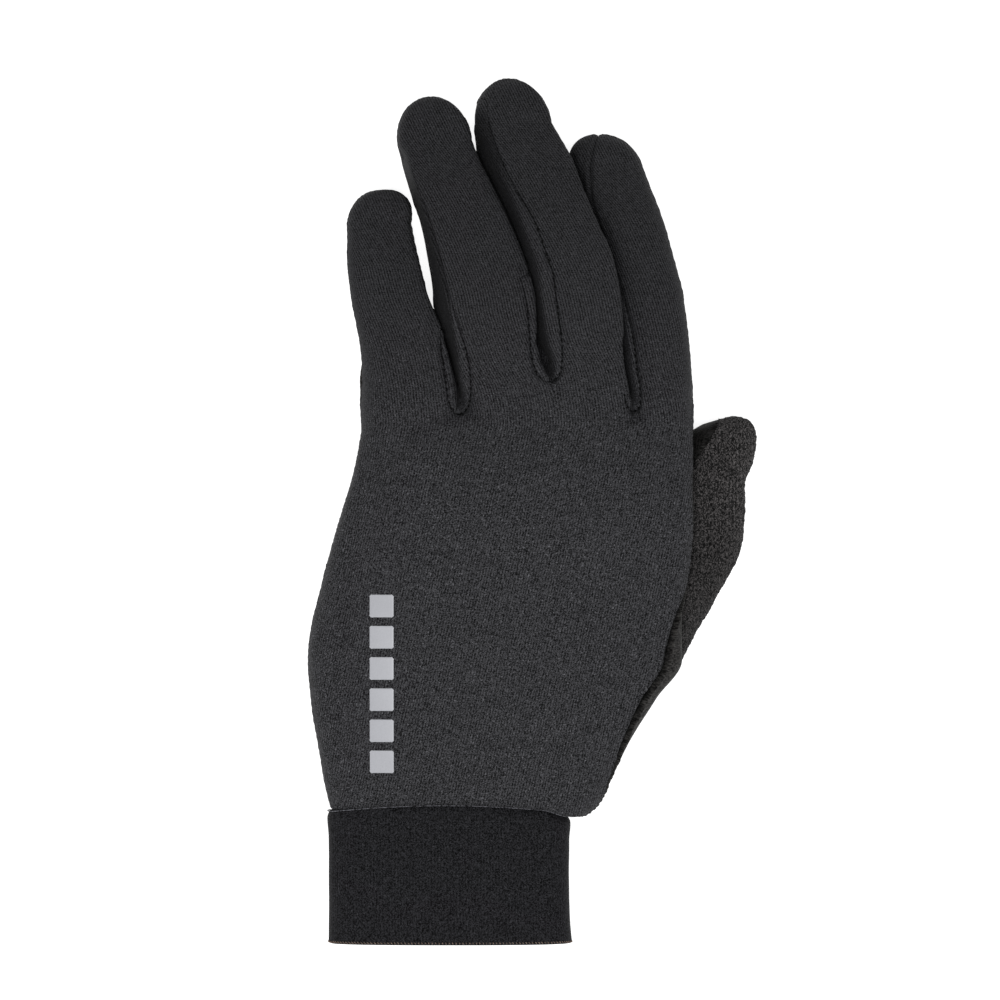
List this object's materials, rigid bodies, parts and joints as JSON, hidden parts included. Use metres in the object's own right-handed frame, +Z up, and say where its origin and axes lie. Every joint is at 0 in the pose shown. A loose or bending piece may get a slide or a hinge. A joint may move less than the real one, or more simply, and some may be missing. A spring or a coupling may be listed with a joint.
{
  "type": "running glove",
  "caption": "Thin jersey running glove with full fingers, U-shaped seams between them, a towelling thumb and an elastic knit cuff.",
  "frame": {"origin": "under the middle of the glove's outline, on the surface that it lies on", "axes": "+Y towards the fingertips, +X towards the thumb, +Z up out of the back of the hand"},
  "size_m": [0.1236, 0.2398, 0.0368],
  "materials": {
    "back_jersey": "fine stretch jersey, charcoal",
    "palm_jersey": "brushed stretch jersey, charcoal",
    "strip_jersey": "fine stretch jersey, dark charcoal",
    "towelling": "short looped pile, charcoal",
    "elastic_knit": "dense doubled elastic knit, near black"
  },
  "bodies": {
    "root": {"back_panel": "back_jersey", "palm_panel": "palm_jersey", "side_strip_little_ring": "strip_jersey", "side_strip_ring_middle": "strip_jersey", "side_strip_middle_index": "strip_jersey", "thumb_back": "towelling", "thumb_front": "palm_jersey", "cuff": "elastic_knit"}
  },
  "joints": []
}
